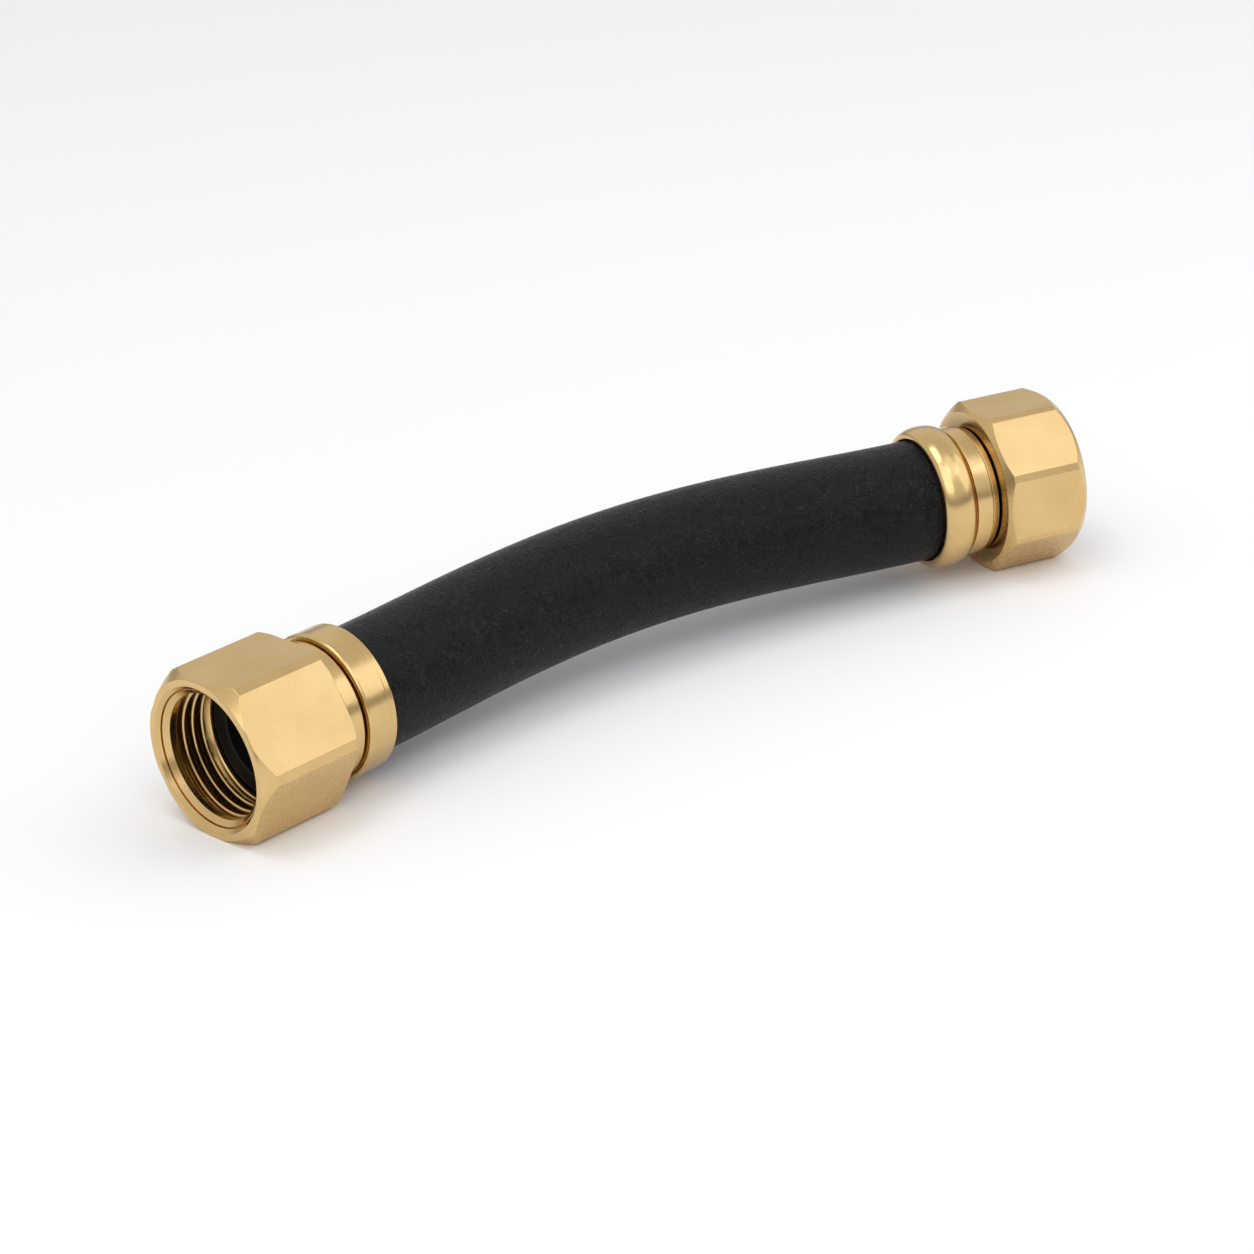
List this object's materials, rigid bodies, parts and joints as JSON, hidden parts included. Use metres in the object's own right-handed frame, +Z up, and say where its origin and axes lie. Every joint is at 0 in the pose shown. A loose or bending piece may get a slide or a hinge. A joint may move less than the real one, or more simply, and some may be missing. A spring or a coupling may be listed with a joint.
{
  "type": "rubber hose",
  "caption": "Short gently bent rubber hose with a brass female swivel nut, washer and crimped ferrule at each end, to join two male garden hose threads.",
  "frame": {"origin": "middle of the part's footprint, at the floor that both nuts rest on", "axes": "+X from the hexagon nut's end to the octagon nut's end, +Y towards the outside of the hose's bend, +Z up"},
  "size_m": [0.2098, 0.045, 0.0342],
  "materials": {
    "hose_rubber": "matte black with fine leathery wrinkles",
    "nut_brass": "satin machined, polished along the bevelled edges",
    "stem_brass": "turned",
    "ferrule_brass": "turned and polished",
    "washer_rubber": "matte"
  },
  "bodies": {
    "hose_body": {"hose": "hose_rubber", "hex_end_ferrule": "ferrule_brass", "hex_end_stem": "stem_brass", "hex_end_washer": "washer_rubber", "octagon_end_ferrule": "ferrule_brass", "octagon_end_stem": "stem_brass", "octagon_end_washer": "washer_rubber"},
    "hexagon_nut": {"hexagon_nut": "nut_brass"},
    "octagon_nut": {"octagon_nut": "nut_brass"}
  },
  "joints": [
    {"name": "hexagon_nut_swivel", "type": "hinge", "parent": "hose_body", "child": "hexagon_nut", "pos_m": [-0.09078, -0.0033, 0.01588], "axis": [-0.9808, -0.1951, 0], "continuous": true},
    {"name": "octagon_nut_swivel", "type": "hinge", "parent": "hose_body", "child": "octagon_nut", "pos_m": [0.09264, -0.00318, 0.0171], "axis": [0.9808, -0.1951, 0], "continuous": true}
  ]
}
